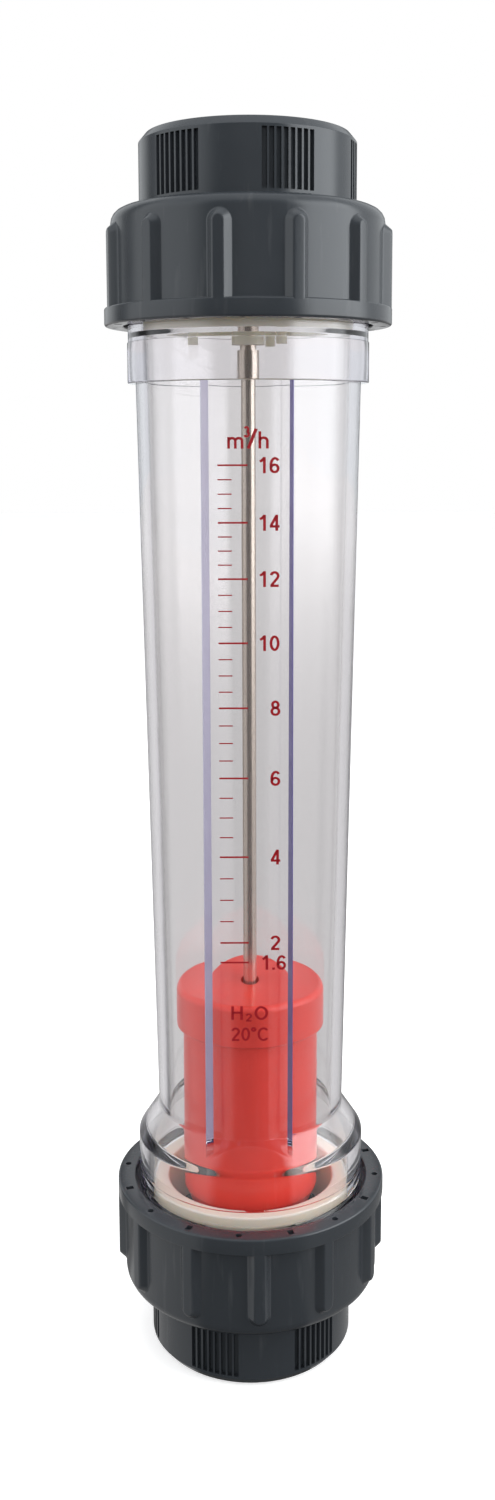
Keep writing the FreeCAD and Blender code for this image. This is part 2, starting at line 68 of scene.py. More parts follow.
# ==== Union connectors =====================================================================
# Injection-moulded grey PVC tails: a flange behind the nut, a neck with six patches of grip
# grooves, and a socket for the pipe. Turned body first, then the grooves are cut round it.
SOCKET_RADIUS = 31.6
SOCKET_DEPTH = 38.0
SOCKET_LEAD_IN = 1.5
NECK_RADIUS = 39.0
NECK_CHAMFER_WIDTH = 2.5
NECK_CHAMFER_HEIGHT = 3.0
CONNECTOR_BORE = 25.0
FLANGE_RADIUS = 43.0
FLANGE_THICKNESS = 12.0
O_GROOVE_INNER = 38.9
O_GROOVE_OUTER = 41.7
O_GROOVE_DEPTH = 2.4
GROOVES_PER_PATCH = 8
PATCH_COUNT = 6
GROOVE_PITCH_DEG = 3.65
GROOVE_WIDTH = 1.75
GROOVE_DEPTH = 1.7
GROOVE_FOOT = 22.8
GROOVE_HEAD_GAP = 4.0
GROOVE_CUT_PROUD = 2.0
UPPER_PATCH_DEG = 21.0
LOWER_PATCH_DEG = 39.0
PVC_GREY = (0.031, 0.036, 0.042, 1)
PVC_ROUGHNESS = 0.21
MOTTLE_GLOSS = (-0.05, 0.07)
SCUFF_PALENESS = 0.25
GRAIN_RELIEF = 0.0004
TURNED_STEPS = 240
TURNED_ANGLES = np.arange(TURNED_STEPS) * 2 * math.pi / TURNED_STEPS
SHARP_EDGE_DEG = 32


def rounded_path(corners, closed=True, arc_steps=5):
    """Points of an outline through (radius, z, rounding) corners, with true arcs."""
    points = []
    count = len(corners)
    for i, corner in enumerate(corners):
        here = np.array(corner[:2], float)
        rounding = corner[2] if len(corner) > 2 else 0
        if rounding == 0 or (not closed and i in (0, count - 1)):
            points.append(here)
            continue
        back = np.array(corners[i - 1][:2], float) - here
        ahead = np.array(corners[(i + 1) % count][:2], float) - here
        back /= np.linalg.norm(back)
        ahead /= np.linalg.norm(ahead)
        half = math.acos(np.clip(back @ ahead, -1, 1)) / 2
        middle = (back + ahead) / np.linalg.norm(back + ahead)
        centre = here + middle * rounding / math.sin(half)
        start = here + back * rounding / math.tan(half) - centre
        stop = here + ahead * rounding / math.tan(half) - centre
        sweep = math.pi - 2 * half
        for step in range(arc_steps + 1):
            part = step / arc_steps
            blend = (math.sin((1 - part) * sweep) * start + math.sin(part * sweep) * stop)
            points.append(centre + blend / math.sin(sweep))
    return points


def skin_mesh(name, points, faces):
    """A mesh on points in millimetres, its doubles merged and its faces turned outward."""
    mesh = bpy.data.meshes.new(name)
    mesh.from_pydata((points.reshape(-1, 3) * MM).tolist(), [], faces)
    shell = bmesh.new()
    shell.from_mesh(mesh)
    bmesh.ops.remove_doubles(shell, verts=shell.verts, dist=1e-7)
    bmesh.ops.recalc_face_normals(shell, faces=shell.faces)
    shell.to_mesh(mesh)
    shell.free()
    return mesh


def closed_mesh(name, rings):
    """A closed skin through rings of points in millimetres, the last joined to the first."""
    rings = np.asarray(rings, float)
    rows, columns = rings.shape[:2]
    row, column = np.meshgrid(np.arange(rows), np.arange(columns), indexing="ij")
    next_row = (row + 1) % rows
    next_column = (column + 1) % columns
    faces = np.stack([row * columns + column, row * columns + next_column,
                      next_row * columns + next_column, next_row * columns + column], -1)
    return skin_mesh(name, rings, faces.reshape(-1, 4).tolist())


def ring_points(radius, angles, z):
    """Points at one height, by their distances from Z and angles round it."""
    return np.stack([radius * np.cos(angles), radius * np.sin(angles),
                     np.full_like(angles, z)], -1)


def new_piece(name, mesh):
    """An object at the origin that carries a mesh whose place is in its points."""
    piece = bpy.data.objects.new(name, mesh)
    scene.collection.objects.link(piece)
    return piece


def as_mesh(name, shell):
    """A mesh of what a bmesh shell holds, which is then freed."""
    mesh = bpy.data.meshes.new(name)
    shell.to_mesh(mesh)
    shell.free()
    return mesh


def box_cutter(name, low, high):
    """A box between two corners in millimetres, to cut with."""
    low = Vector(low) * MM
    high = Vector(high) * MM
    place = Matrix.Translation((low + high) / 2) @ Matrix.Diagonal((*(high - low), 1))
    shell = bmesh.new()
    bmesh.ops.create_cube(shell, size=1, matrix=place)
    return new_piece(name, as_mesh(name, shell))


def smooth_with_edges(mesh):
    """Smooth shading that keeps sharp edges."""
    mesh.shade_smooth()
    mesh.set_sharp_from_angle(angle=math.radians(SHARP_EDGE_DEG))


def set_inputs(node, inputs):
    """Sets a node's inputs to values, or links them to the sockets given."""
    for label, value in inputs.items():
        if isinstance(value, bpy.types.NodeSocket):
            node.id_data.links.new(value, node.inputs[label])
        else:
            node.inputs[label].default_value = value


def add_node(tree, kind, inputs=None, **settings):
    """A new node of a tree, its settings made and its inputs set."""
    node = tree.nodes.new(kind)
    for label, value in settings.items():
        setattr(node, label, value)
    set_inputs(node, inputs or {})
    return node


def maths(tree, operation, first, second=0.0):
    """Output of a maths node on two sockets or numbers."""
    return add_node(tree, "ShaderNodeMath", {0: first, 1: second}, operation=operation).outputs[0]


def new_tree(name, sockets):
    """A Geometry Nodes tree with named inputs, given with its input sockets."""
    tree = bpy.data.node_groups.new(name, "GeometryNodeTree")
    for label, kind in sockets.items():
        tree.interface.new_socket(label, in_out="INPUT", socket_type="NodeSocket" + kind)
    tree.interface.new_socket("Geometry", in_out="OUTPUT", socket_type="NodeSocketGeometry")
    return tree, add_node(tree, "NodeGroupInput").outputs


def end_tree(tree, geometry, material):
    """Ends a tree: instances made real, the material set and the result put out."""
    real = add_node(tree, "GeometryNodeRealizeInstances", {0: geometry}).outputs[0]
    finish = add_node(tree, "GeometryNodeSetMaterial", {"Geometry": real, "Material": material})
    add_node(tree, "NodeGroupOutput", {0: finish.outputs[0]})
    return tree


def ring_tree(name, cut):
    """Nodes that set an item round Z in groups, and cut it from the body or join it on."""
    tree, given = new_tree(name, {
        "Geometry": "Geometry", "Item": "Object", "Count": "Int", "Per Group": "Int",
        "First Angle": "Float", "Item Step": "Float", "Group Step": "Float",
        "Material": "Material"})
    index = add_node(tree, "GeometryNodeInputIndex").outputs[0]
    groups_before = maths(tree, "FLOOR", maths(tree, "DIVIDE", index, given["Per Group"]))
    within = maths(tree, "MODULO", index, given["Per Group"])
    group_turn = maths(tree, "MULTIPLY", groups_before, given["Group Step"])
    item_turn = maths(tree, "MULTIPLY", within, given["Item Step"])
    turn = maths(tree, "ADD", maths(tree, "ADD", group_turn, item_turn), given["First Angle"])
    points = add_node(tree, "GeometryNodePoints", {"Count": given["Count"]})
    item = add_node(tree, "GeometryNodeObjectInfo", {"Object": given["Item"]})
    rotation = add_node(tree, "ShaderNodeCombineXYZ", {"Z": turn})
    placed = add_node(tree, "GeometryNodeInstanceOnPoints", {
        "Points": points.outputs[0], "Instance": item.outputs["Geometry"],
        "Rotation": rotation.outputs[0]}).outputs[0]
    if cut:
        loose = add_node(tree, "GeometryNodeRealizeInstances", {0: placed}).outputs[0]
        body = add_node(tree, "GeometryNodeMeshBoolean", {
            "Mesh 1": given["Geometry"], "Mesh 2": loose}, operation="DIFFERENCE", solver="EXACT")
    else:
        body = add_node(tree, "GeometryNodeJoinGeometry", {0: given["Geometry"]})
        tree.links.new(placed, body.inputs[0])
    return end_tree(tree, body.outputs[0], given["Material"])


def add_tree(piece, name, tree, values):
    """A Geometry Nodes modifier on a piece, its inputs set by the sockets' identifiers."""
    modifier = piece.modifiers.new(name, "NODES")
    modifier.node_group = tree
    for socket in tree.interface.items_tree:
        if socket.in_out == "INPUT" and socket.name in values:
            modifier[socket.identifier] = values[socket.name]


def add_ring(piece, tree, item, count, first_deg, step_deg, per_group=1, pitch_deg=0):
    """A ring of items in grey PVC: groups a step apart, their items a pitch apart."""
    add_tree(piece, item.name, tree, {
        "Item": item, "Count": count, "Per Group": per_group, "Material": pvc,
        "First Angle": math.radians(first_deg), "Item Step": math.radians(pitch_deg),
        "Group Step": math.radians(step_deg)})


def set_by_nodes(piece, helpers):
    """Bakes a piece's modifiers into its mesh and removes the helper objects."""
    graph = bpy.context.evaluated_depsgraph_get()
    mesh = bpy.data.meshes.new_from_object(piece.evaluated_get(graph), depsgraph=graph)
    piece.modifiers.clear()
    piece.data = mesh
    for helper in helpers:
        bpy.data.objects.remove(helper)


def ranged(tree, value, given, wanted, kind="LINEAR"):
    """Output that takes a value from one range to another; a range may run backwards."""
    return add_node(tree, "ShaderNodeMapRange", {
        "Value": value, "From Min": given[0], "From Max": given[1], "To Min": wanted[0],
        "To Max": wanted[1]}, interpolation_type=kind).outputs[0]


def mixed(tree, factor, first, second, kind="FLOAT"):
    """Output of a mix of two numbers or, with kind RGBA, two colours."""
    return add_node(tree, "ShaderNodeMix", {"Factor": factor, "A": first, "B": second},
                    data_type=kind).outputs["Result"]


def grain_group():
    """Moulded-plastic surface: fine grain, slow mottling and faint scuffs."""
    group = bpy.data.node_groups.new("moulded grain", "ShaderNodeTree")
    for label, value in (("Grain Scale", 1400.0), ("Mottle Scale", 90.0), ("Scuff Scale", 260.0)):
        socket = group.interface.new_socket(label, in_out="INPUT", socket_type="NodeSocketFloat")
        socket.default_value = value
    for label in ("Grain", "Mottle", "Scuff"):
        group.interface.new_socket(label, in_out="OUTPUT", socket_type="NodeSocketFloat")
    given = add_node(group, "NodeGroupInput").outputs
    place = add_node(group, "ShaderNodeTexCoord").outputs["Object"]
    stretched = add_node(group, "ShaderNodeMapping", {"Vector": place, "Scale": (1, 1, 0.12)})
    noises = {}
    for label, where, detail in (("Grain", place, 4.0), ("Mottle", place, 3.0),
                                 ("Scuff", stretched.outputs[0], 6.0)):
        noises[label] = add_node(group, "ShaderNodeTexNoise", {
            "Vector": where, "Scale": given[label + " Scale"], "Detail": detail}).outputs["Fac"]
    noises["Scuff"] = ranged(group, noises["Scuff"], (0.60, 0.74), (0, 1))
    add_node(group, "NodeGroupOutput", noises)
    return group


GRAIN = grain_group()


def new_material(name):
    """A material, its node tree and its Principled shader."""
    material = bpy.data.materials.new(name)
    material.use_nodes = True
    return material, material.node_tree, material.node_tree.nodes["Principled BSDF"]


def moulded_plastic(name, colour, roughness, colour_change=0.10, bump=0.06, scuffs=0.06):
    """A Principled plastic whose colour, gloss and relief come from the grain group."""
    material, tree, shader = new_material(name)
    grain = add_node(tree, "ShaderNodeGroup", node_tree=GRAIN).outputs
    darker = [c * (1 - colour_change) for c in colour[:3]] + [1]
    lighter = [min(c * (1 + colour_change), 1) for c in colour[:3]] + [1]
    scuffed = [c + (1 - c) * SCUFF_PALENESS for c in colour[:3]] + [1]
    mottled = mixed(tree, grain["Mottle"], darker, lighter, "RGBA")
    mask = maths(tree, "MULTIPLY", grain["Scuff"], scuffs)
    relief = add_node(tree, "ShaderNodeBump", {
        "Height": grain["Grain"], "Strength": bump, "Distance": GRAIN_RELIEF})
    set_inputs(shader, {
        "Base Color": mixed(tree, mask, mottled, scuffed, "RGBA"),
        "Roughness": ranged(tree, grain["Mottle"], (0, 1),
                            [roughness + change for change in MOTTLE_GLOSS]),
        "Normal": relief.outputs[0]})
    return material


pvc = moulded_plastic("grey_pvc", PVC_GREY, PVC_ROUGHNESS, colour_change=0.05, bump=0.04)
cut_ring = ring_tree("cut round the axis", cut=True)


def make_connector(end, away, patch_deg):
    """One union tail in place of its plain solid, on the body that carries it."""
    low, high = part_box(end + "_connector")
    face = (low.z if away > 0 else high.z) / MM
    length = (high.z - low.z) / MM
    stop = length - SOCKET_DEPTH
    path = rounded_path([
        (CONNECTOR_BORE, 0), (O_GROOVE_INNER, 0), (O_GROOVE_INNER, O_GROOVE_DEPTH),
        (O_GROOVE_OUTER, O_GROOVE_DEPTH), (O_GROOVE_OUTER, 0),
        (FLANGE_RADIUS, 0, 0.8), (FLANGE_RADIUS, FLANGE_THICKNESS, 0.4),
        (NECK_RADIUS, FLANGE_THICKNESS), (NECK_RADIUS, length - NECK_CHAMFER_HEIGHT, 0.5),
        (NECK_RADIUS - NECK_CHAMFER_WIDTH, length, 0.7),
        (SOCKET_RADIUS + SOCKET_LEAD_IN, length, 0.4), (SOCKET_RADIUS, length - SOCKET_LEAD_IN),
        (SOCKET_RADIUS, stop), (CONNECTOR_BORE, stop, 0.4)])
    piece = new_piece(end + "_union_tail", closed_mesh(end + "_union_tail", [
        ring_points(r, TURNED_ANGLES, face + away * z) for r, z in path]))
    foot, head = sorted([face + away * GROOVE_FOOT, face + away * (length - GROOVE_HEAD_GAP)])
    groove = box_cutter("groove", (NECK_RADIUS - GROOVE_DEPTH, -GROOVE_WIDTH / 2, foot),
                        (NECK_RADIUS + GROOVE_CUT_PROUD, GROOVE_WIDTH / 2, head))
    first = patch_deg - 90 - GROOVE_PITCH_DEG * (GROOVES_PER_PATCH - 1) / 2
    add_ring(piece, cut_ring, groove, GROOVES_PER_PATCH * PATCH_COUNT, first,
             360 / PATCH_COUNT, GROOVES_PER_PATCH, GROOVE_PITCH_DEG)
    set_by_nodes(piece, [groove])
    smooth_with_edges(piece.data)
    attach(piece, end + "_tail")
    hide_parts(end + "_connector")


make_connector("upper", 1, UPPER_PATCH_DEG)
make_connector("lower", -1, LOWER_PATCH_DEG)

# ==== Union nuts ===========================================================================
# The same grey PVC: a threaded ring with a lip at its mouth, twelve grip ribs with rounded
# ends, and dimples and slots by turns round the lip's face.
NUT_BODY_RADIUS = 49.3
LIP_RADIUS = 51.99
LIP_HEIGHT = 6.4
NUT_HOLE_RADIUS = 39.3
NUT_END_WALL = 8.5
NUT_END_FILLET = 5.0
NUT_MOUTH_RADIUS = 45.3
NUT_MOUTH_DEPTH = 2.4
NUT_BORE_RADIUS = 43.3
NUT_THREAD_START = 4.4
THREAD_PITCH = 4.0
NUT_THREAD_DEPTH = 1.1
NUT_RING_STEP = 0.4
THREAD_ROOT_SHARE = 0.18
THREAD_FLANK_SHARE = 0.62
RIB_COUNT = 12
RIB_HALF_TOP = 1.55
RIB_HALF_BASE = 4.5
RIB_END_SETBACK = 5.3
RIB_SINK = 0.6
RIB_FOOT_SINK = 1.2
RIB_TIP = 9.0
UPPER_RIB_DEG = -11.0
LOWER_RIB_DEG = 3.5
MARK_COUNT = 8
MARK_RADIUS = 48.7
MARK_DEPTH = 1.5
MARK_CUT_PROUD = 1.0
SLOT_HALF_LENGTH = 1.4
SLOT_HALF_WIDTH = 1.1
DIMPLE_RADIUS = 1.15
UPPER_MARK_DEG = -2.4
LOWER_MARK_DEG = -5.1


def eased(share, softness=0.22):
    """0 to 1 along a straight flank with a soft start and a soft end."""
    share = np.clip(share, 0, 1)
    scale = 1 / (1 - softness)
    start = share ** 2 / (2 * softness) * scale
    end = 1 - (1 - share) ** 2 / (2 * softness) * scale
    middle = (share - softness / 2) * scale
    return np.where(share < softness, start, np.where(share > 1 - softness, end, middle))


def rib_mesh(foot, head, away, mouth):
    """A grip rib along Z on the nut's body: flat top, sloping flanks, rounded end."""
    across = np.linspace(-RIB_HALF_BASE, RIB_HALF_BASE, 33)
    along = np.concatenate([[foot, foot + 8], np.linspace(head - RIB_TIP, head, 30)])
    spine_end = head - RIB_HALF_BASE
    rise = LIP_RADIUS - NUT_BODY_RADIUS
    angles = across / NUT_BODY_RADIUS
    rows = []
    for z in along:
        distance = np.hypot(across, max(z - spine_end, 0))
        share = (distance - RIB_HALF_TOP) / (RIB_HALF_BASE - RIB_HALF_TOP)
        # The flanks run out just under the body's skin, so that the two skins cross cleanly.
        radius = NUT_BODY_RADIUS - 0.01 + rise * (1 - eased(share))
        radius = np.where(share >= 1, NUT_BODY_RADIUS - 0.05, radius)
        top = ring_points(radius, angles, mouth + away * z)
        root = ring_points(NUT_BODY_RADIUS - RIB_SINK, angles, mouth + away * z)
        rows.append(np.concatenate([top, root[::-1]]))
    rows = np.array(rows)
    count = rows.shape[1]
    faces = [(r * count + c, r * count + (c + 1) % count, (r + 1) * count + (c + 1) % count,
              (r + 1) * count + c) for r in range(len(rows) - 1) for c in range(count)]
    faces.append(tuple(range(count)))
    faces.append(tuple((len(rows) - 1) * count + c for c in range(count)))
    return skin_mesh("rib", rows, faces)


def thread_wave(turns):
    """Height of a rounded thread, 0 to 1, at a count of turns along it."""
    phase = np.abs((turns % 1.0) - 0.5) * 2
    return eased((phase - THREAD_ROOT_SHARE) / THREAD_FLANK_SHARE, 0.3)


def make_nut(end, away, rib_deg, mark_deg):
    """One union nut in place of its plain solid."""
    low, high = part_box(end + "_union_nut")
    mouth = (low.z if away > 0 else high.z) / MM
    height = (high.z - low.z) / MM
    ledge = height - NUT_END_WALL
    path = rounded_path([
        (NUT_MOUTH_RADIUS, 0, 0.5), (LIP_RADIUS, 0, 0.9), (LIP_RADIUS, LIP_HEIGHT, 0.7),
        (NUT_BODY_RADIUS, LIP_HEIGHT, 0.5), (NUT_BODY_RADIUS, height, NUT_END_FILLET),
        (NUT_HOLE_RADIUS, height, 0.6), (NUT_HOLE_RADIUS, ledge, 0.4)])
    bore = [(NUT_BORE_RADIUS, z) for z in np.arange(ledge, NUT_THREAD_START, -NUT_RING_STEP)]
    path += bore + [(NUT_BORE_RADIUS, NUT_THREAD_START), (NUT_MOUTH_RADIUS, NUT_MOUTH_DEPTH)]
    rings = []
    for radius, z in path:
        if radius == NUT_BORE_RADIUS and NUT_THREAD_START < z < ledge - 0.1:
            turns = z / THREAD_PITCH - away * TURNED_ANGLES / (2 * math.pi)
            radius = radius + NUT_THREAD_DEPTH * thread_wave(turns)
        rings.append(ring_points(radius, TURNED_ANGLES, mouth + away * z))
    piece = new_piece(end + "_nut", closed_mesh(end + "_nut", rings))
    low, high = sorted([mouth - away * MARK_CUT_PROUD, mouth + away * MARK_DEPTH])
    slot = box_cutter("slot", (MARK_RADIUS - SLOT_HALF_LENGTH, -SLOT_HALF_WIDTH, low),
                      (MARK_RADIUS + SLOT_HALF_LENGTH, SLOT_HALF_WIDTH, high))
    shell = bmesh.new()
    bmesh.ops.create_cone(shell, cap_ends=True, segments=20, radius1=DIMPLE_RADIUS * MM,
                          radius2=DIMPLE_RADIUS * MM, depth=(high - low) * MM,
                          matrix=Matrix.Translation((MARK_RADIUS * MM, 0, (low + high) / 2 * MM)))
    dimple = new_piece("dimple", as_mesh("dimple", shell))
    rib_head = height - RIB_END_SETBACK
    rib = new_piece("rib", rib_mesh(LIP_HEIGHT - RIB_FOOT_SINK, rib_head, away, mouth))
    smooth_with_edges(rib.data)
    step = 360 / MARK_COUNT
    add_ring(piece, cut_ring, dimple, MARK_COUNT, mark_deg - 90, step)
    add_ring(piece, cut_ring, slot, MARK_COUNT, mark_deg + step / 2 - 90, step)
    add_ring(piece, join_ring, rib, RIB_COUNT, rib_deg - 90, 360 / RIB_COUNT)
    set_by_nodes(piece, [slot, dimple, rib])
    smooth_with_edges(piece.data)
    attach(piece, end + "_nut")
    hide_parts(end + "_union_nut")


join_ring = ring_tree("join round the axis", cut=False)
make_nut("upper", 1, UPPER_RIB_DEG, UPPER_MARK_DEG)
make_nut("lower", -1, LOWER_RIB_DEG, LOWER_MARK_DEG)

# ==== O-rings ==============================================================================
# Black moulded rubber rings, laid in the face grooves of the union tails and pressed on the
# tube's ends by the nuts. Seen only when a union is unscrewed.
RUBBER_BLACK = (0.022, 0.022, 0.023, 1)


def dress(nodes, finish):
    """Gives solids of the part a material, their shape left as it is."""
    for node in nodes:
        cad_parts[node].data.materials.clear()
        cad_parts[node].data.materials.append(finish)


dress(["upper_o_ring", "lower_o_ring"],
      moulded_plastic("seal_rubber", RUBBER_BLACK, roughness=0.6, bump=0.1))

# ==== Spiders ==============================================================================
# Cream moulded plastic: a ring, three arms and a hub in one piece, set in each end of the tube
# to carry the rod. Light goes a little way into the plastic.
CREAM = (0.90, 0.85, 0.67, 1)
cream = moulded_plastic("spider_plastic", CREAM, roughness=0.42, colour_change=0.05, bump=0.05)
set_inputs(cream.node_tree.nodes["Principled BSDF"], {
    "Subsurface Weight": 0.45, "Subsurface Radius": (0.009, 0.007, 0.005),
    "Subsurface Scale": 1.0})
dress(["upper_spider", "lower_spider"], cream)

# ==== Guide rod and fasteners ==============================================================
# Polished stainless bar, drawn lengthwise and slightly brown in tone, held at its ends by
# plain steel nuts and washers. The ballast inside the float has the same plain steel.
STEEL = (0.60, 0.57, 0.53, 1)
ROD_STEEL = (0.64, 0.57, 0.50, 1)
ROD_METALLIC = 0.82
DRAWN_LINES = (3000, 3000, 25)
DRAWN_GLOSS = (-0.05, 0.08)


def drawn_steel(name, colour, metallic, roughness):
    """Polished steel with fine lengthwise drawing lines."""
    material, tree, shader = new_material(name)
    place = add_node(tree, "ShaderNodeTexCoord").outputs["Object"]
    stretched = add_node(tree, "ShaderNodeMapping", {"Vector": place, "Scale": DRAWN_LINES})
    lines = add_node(tree, "ShaderNodeTexNoise", {"Vector": stretched.outputs[0], "Scale": 1.0})
    gloss = ranged(tree, lines.outputs["Fac"], (0, 1),
                   [roughness + change for change in DRAWN_GLOSS])
    set_inputs(shader, {"Base Color": colour, "Metallic": metallic, "Roughness": gloss})
    return material


dress(["guide_rod"],
      drawn_steel("rod_steel", ROD_STEEL, metallic=ROD_METALLIC, roughness=0.24))
dress(["upper_rod_washer", "upper_lock_washer", "upper_rod_nut", "lower_rod_nut",
       "float_ballast"], drawn_steel("fastener_steel", STEEL, metallic=1.0, roughness=0.30))

# ==== Float ================================================================================
# Glossy red moulding in two pieces, a cap pressed over a hollow body that holds the ballast,
# with white bushes pressed in that run on the rod.
FLOAT_RED = (0.88, 0.060, 0.040, 1)
BUSH_WHITE = (0.75, 0.75, 0.72, 1)
dress(["float_head", "float_body"],
      moulded_plastic("float_red", FLOAT_RED, roughness=0.30, colour_change=0.06, bump=0.04,
                      scuffs=0.05))
dress(["float_upper_bush", "float_lower_bush"],
      moulded_plastic("bush_plastic", BUSH_WHITE, roughness=0.4))

# ==== Flow tube ============================================================================
# One clear moulding: threads, collars, the flared shoulder, the tapered bore and the flat
# scale panel on the front. The panel's sides lean in; seen through its face they carry the
# plastic's lilac with painted reflection, pale on the left and deep on the right.
THREAD_LENGTH = 25.4
PLAIN_NECK = 6.2
LOWER_NECK_RADIUS = 43.2
UPPER_NECK_RADIUS = 43.6
THREAD_CREST = 43.15
THREAD_ROOT = 41.95
THREAD_END_CHAMFER = 0.4
LOWER_COLLAR_RADIUS = 43.5
LOWER_COLLAR_HEIGHT = 12.8
UPPER_COLLAR_RADIUS = 43.9
UPPER_COLLAR_HEIGHT = 14.5
SHOULDER_HEIGHT = 11.7
TAPER_LOW = 35.6
TAPER_HIGH = 41.0
TUBE_WALL = 4.0
SEAT_RADIUS = 38.3
SPIDER_HUB_DROP = 5.4
SEAT_CONE_HEIGHT = 1.6
PANEL_RIGHT = 15.5
PANEL_LEFT = 16.4
PANEL_RIGHT_INSET = 1.9
PANEL_RIGHT_INSET_HEAD = 1.4
PANEL_LEFT_INSET = 2.8
PANEL_FACE_LOW = 36.6
PANEL_FACE_HIGH = 41.15
PANEL_BEVEL = 0.3
PANEL_ROOT_GAP = 0.002
# Colours of the panel's side walls: the plastic's lilac tint with painted reflection of the room,
# pale on the left and deep on the right, each paler at the top.
PAINTED_PALE_REFLECTION_LOW = (0.34, 0.32, 0.47, 1)
PAINTED_PALE_REFLECTION_HIGH = (0.62, 0.60, 0.72, 1)
PAINTED_DEEP_REFLECTION_LOW = (0.07, 0.055, 0.22, 1)
PAINTED_DEEP_REFLECTION_HIGH = (0.13, 0.10, 0.34, 1)
EDGE_ROUGHNESS = 0.4
EDGE_REACH = 17.0
EDGE_TURN = 0.25
ROUND_STEPS = 216
FACE_STEPS = 36
THREAD_RING_STEP = 0.38
THREAD_FADE = 1.2
BORE_STEP = 6.0
BORE_MARGIN = 0.4
TUBE_IOR = 1.54
TUBE_TINT = (0.50, 0.46, 0.66, 1)
TUBE_TINT_DENSITY = 16.0
TUBE_CLEAR = (0.880, 0.869, 0.863, 1)
TUBE_SHADOW = (0.95, 0.94, 0.96, 1)
TUBE_HAZE = 0.16

tube_low, tube_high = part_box("flow_tube")
FOOT = tube_low.z / MM
TOP = tube_high.z / MM
COLLAR_TOP = FOOT + THREAD_LENGTH + LOWER_COLLAR_HEIGHT
TAPER_FOOT = COLLAR_TOP + SHOULDER_HEIGHT
TAPER_HEAD = TOP - THREAD_LENGTH - UPPER_COLLAR_HEIGHT
UPPER_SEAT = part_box("upper_spider")[0].z / MM + SPIDER_HUB_DROP
PANEL_LEAN = (PANEL_FACE_HIGH - PANEL_FACE_LOW) / (TAPER_HEAD - TAPER_FOOT)


def taper_radius(z):
    """Outside radius of the tapered part."""
    return TAPER_LOW + (TAPER_HIGH - TAPER_LOW) * (z - TAPER_FOOT) / (TAPER_HEAD - TAPER_FOOT)


def panel_face(z):
    """Distance of the panel's flat face from the axis."""
    return PANEL_FACE_LOW + PANEL_LEAN * (z - TAPER_FOOT)


def panel_corner(half, face):
    """The panel's rounded right-hand corner, from its side to its face, as (x, y) points."""
    return [(half - PANEL_BEVEL * 0.25, face - PANEL_BEVEL),
            (half - PANEL_BEVEL * 0.45, face - PANEL_BEVEL * 0.3),
            (half - PANEL_BEVEL * 1.1, face), (half - PANEL_BEVEL * 1.6, face)]


def root_angle(half, inset, radius, face):
    """Angle from the front at which a side of the panel meets the round wall."""
    reach = math.sqrt(max(radius ** 2 - face ** 2, 0))
    if reach >= half:
        return math.atan2(half, face) + PANEL_ROOT_GAP
    return math.asin(max(half - inset, reach) / radius)


def outer_ring(z, radius, with_panel, wave=None):
    """One ring of the tube's outside, from the panel's right root round the back and over."""
    face = panel_face(z)
    start = math.atan2(PANEL_RIGHT, face) + PANEL_ROOT_GAP
    stop = math.atan2(PANEL_LEFT, face) + PANEL_ROOT_GAP
    if with_panel:
        share = min(max((z - TAPER_FOOT) / (TAPER_HEAD - TAPER_FOOT), 0), 1)
        inset = PANEL_RIGHT_INSET + (PANEL_RIGHT_INSET_HEAD - PANEL_RIGHT_INSET) * share
        start = root_angle(PANEL_RIGHT, inset, radius, face)
        stop = root_angle(PANEL_LEFT, PANEL_LEFT_INSET, radius, face)
    angles = np.linspace(start, 2 * math.pi - stop, ROUND_STEPS)
    points = [(radius * math.sin(a), -radius * math.cos(a)) for a in angles]
    left = [(-x, y) for x, y in panel_corner(PANEL_LEFT, face)]
    right = panel_corner(PANEL_RIGHT, face)[::-1]
    flat = [(x, face) for x in np.linspace(left[-1][0], right[0][0], FACE_STEPS)[1:-1]]
    buried = PANEL_RIGHT ** 2 + face ** 2 < radius ** 2
    for x, y in left + flat + right:
        distance = math.hypot(x, y)
        if not with_panel or buried or distance < radius:
            x, y = x * radius / distance, y * radius / distance
        points.append((x, -y))
    ring = np.array([(x, y, z) for x, y in points])
    if wave is not None:
        angle = np.arctan2(ring[:, 0], -ring[:, 1])
        grown = THREAD_ROOT + (THREAD_CREST - THREAD_ROOT) * wave(angle)
        ring[:, :2] *= (grown / np.hypot(ring[:, 0], ring[:, 1]))[:, None]
    return ring


def thread_rings(low, high):
    """Rings of a male thread between two heights, fading out at both."""
    rings = []
    for z in np.arange(low, high, THREAD_RING_STEP):
        strength = min(1, (z - low) / THREAD_FADE, (high - z) / THREAD_FADE)

        def wave(angle, z=z, strength=strength):
            return strength * thread_wave(z / THREAD_PITCH - angle / (2 * math.pi))

        rings.append(outer_ring(z, THREAD_CREST, False, wave))
    return rings


def with_steps(path, longest, margin):
    """A path with points put in on its long runs: one near each end and evenly between."""
    points = [path[0]]
    for start, stop in zip(path, path[1:]):
        run = np.linalg.norm(stop - start)
        if run > 3 * margin:
            shares = np.linspace(margin / run, 1 - margin / run, max(2, int(run / longest) + 1))
            points += [start + (stop - start) * share for share in shares]
        points.append(stop)
    return points


